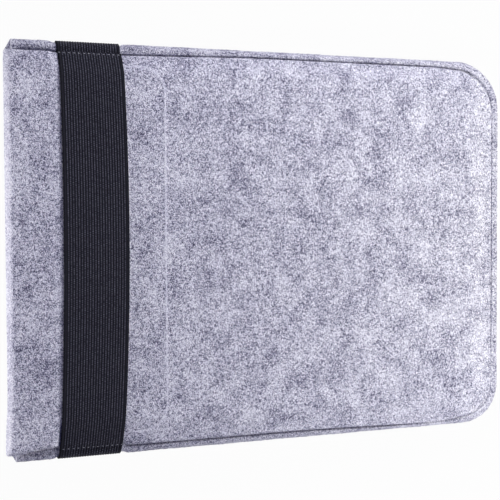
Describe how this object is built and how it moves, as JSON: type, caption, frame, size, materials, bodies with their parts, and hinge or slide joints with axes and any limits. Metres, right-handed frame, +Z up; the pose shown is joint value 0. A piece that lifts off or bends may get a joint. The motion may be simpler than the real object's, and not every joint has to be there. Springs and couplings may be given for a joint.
{
  "type": "laptop sleeve",
  "caption": "Flat felt laptop sleeve with a folded edge strip, an open mouth at one short side with a free folded lip, and a wide dark elastic band that closes it.",
  "frame": {"origin": "middle of the back face that the sleeve lies on, under the centre of its bounding box", "axes": "+Z up through the front face, +X from the mouth to the closed end, +Y along the short side, upwards in the picture"},
  "size_m": [0.3564, 0.2646, 0.0235],
  "materials": {
    "felt": "matte, mottled grey with a slight lilac cast",
    "elastic": "matte woven rib, dark charcoal",
    "seam_thread": "matte",
    "tack_thread": "matte"
  },
  "bodies": {
    "sleeve": {"back_panel": "felt", "edge_strip": "felt", "front_panel": "felt", "mouth_facing": "felt", "front_seam_thread": "seam_thread", "back_seam_thread": "seam_thread", "band_top_wrap": "elastic", "band_bottom_wrap": "elastic", "band_back": "elastic", "band_tack_top": "tack_thread", "band_tack_bottom": "tack_thread"},
    "lip": {"front_lip": "felt", "lip_fold": "felt", "mouth_facing_lip": "felt"},
    "band": {"band_front": "elastic"}
  },
  "joints": [
    {"name": "mouth_open", "type": "hinge", "parent": "sleeve", "child": "lip", "pos_m": [-0.14575, 0, 0.022], "axis": [0, 1, 0], "range_deg": [0, 35], "stiffness_Nm_per_rad": 0.05},
    {"name": "band_lift", "type": "slide", "parent": "sleeve", "child": "band", "axis": [0, 0, 1], "range_m": [0, 0.04], "stiffness_N_per_m": 150}
  ]
}
